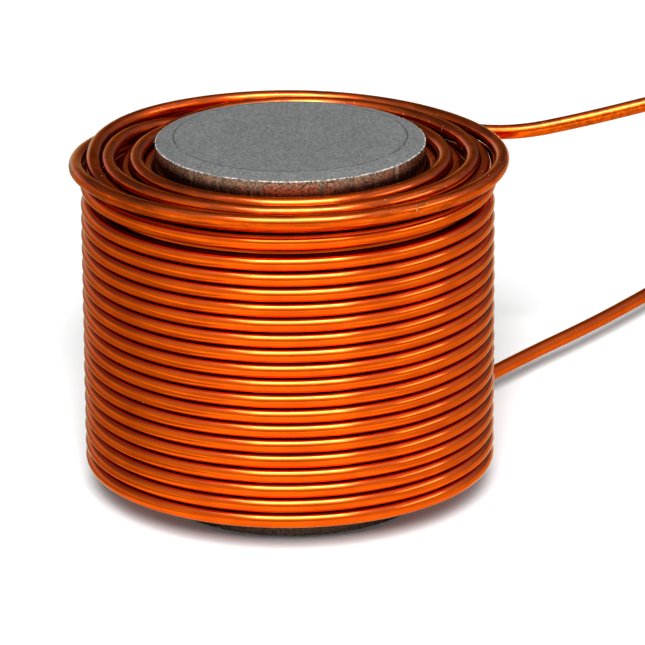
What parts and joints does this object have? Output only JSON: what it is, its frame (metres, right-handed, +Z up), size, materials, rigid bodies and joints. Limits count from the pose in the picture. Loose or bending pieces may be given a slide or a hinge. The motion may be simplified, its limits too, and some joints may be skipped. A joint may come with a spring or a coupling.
{
  "type": "rod-core choke coil",
  "caption": "Copper wire close-wound in layers on a plain pressed-powder rod that stands proud at both ends, with two free wire leads.",
  "frame": {"origin": "centre of the rod's foot, on the surface it stands on", "axes": "+Z up along the rod's axis, -Y the pictured front, +X the side that both leads leave to"},
  "size_m": [0.0797, 0.0896, 0.0429],
  "materials": {
    "powder_core": "pressed metal powder, fine matt grain, side faces darker",
    "adhesive": "set casting adhesive, amber",
    "enamelled_wire": "copper under clear orange-brown enamel, glossy",
    "tinned_copper": "dipped tin over bare copper"
  },
  "bodies": {
    "root": {"powder_core": "powder_core", "core_adhesive": "adhesive", "winding_layer_1": "enamelled_wire", "winding_layer_2": "enamelled_wire", "winding_layer_3": "enamelled_wire", "winding_layer_4": "enamelled_wire", "winding_layer_5": "enamelled_wire", "finish_turn": "enamelled_wire", "start_crossing": "enamelled_wire", "start_lead": "enamelled_wire", "finish_lead": "enamelled_wire", "start_lead_tip": "tinned_copper", "finish_lead_tip": "tinned_copper"}
  },
  "joints": []
}
